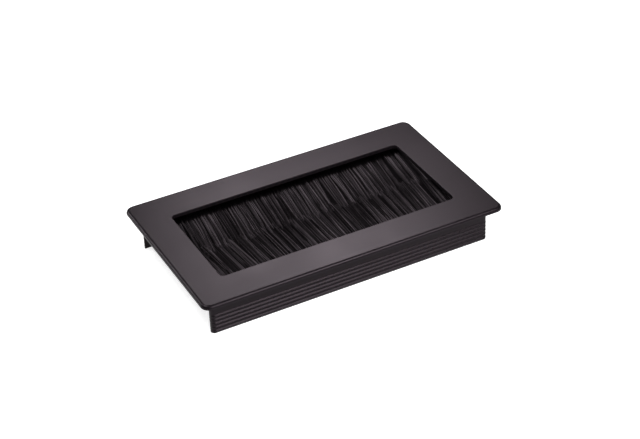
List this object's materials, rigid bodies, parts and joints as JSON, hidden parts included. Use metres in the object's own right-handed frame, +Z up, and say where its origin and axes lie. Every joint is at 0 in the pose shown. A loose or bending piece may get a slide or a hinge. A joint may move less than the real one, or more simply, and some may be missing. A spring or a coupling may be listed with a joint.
{
  "type": "brush cable grommet",
  "caption": "Black rectangular desk grommet with ribbed skirts and opposed brush strips closing its cable window.",
  "frame": {"origin": "under the middle of the flange, level with the feet of the two skirts", "axes": "+Z up through the window, away from the panel; +X along the long side; -Y is the long side nearest the camera in the picture"},
  "size_m": [0.17, 0.101, 0.0224],
  "materials": {
    "frame_plastic": "satin",
    "channel_steel": "satin",
    "wire_steel": "satin",
    "bristle_nylon": "satin"
  },
  "bodies": {
    "root": {"frame": "frame_plastic", "front_channel": "channel_steel", "front_core_wire": "wire_steel", "front_bristles": "bristle_nylon", "rear_channel": "channel_steel", "rear_core_wire": "wire_steel", "rear_bristles": "bristle_nylon"}
  },
  "joints": []
}
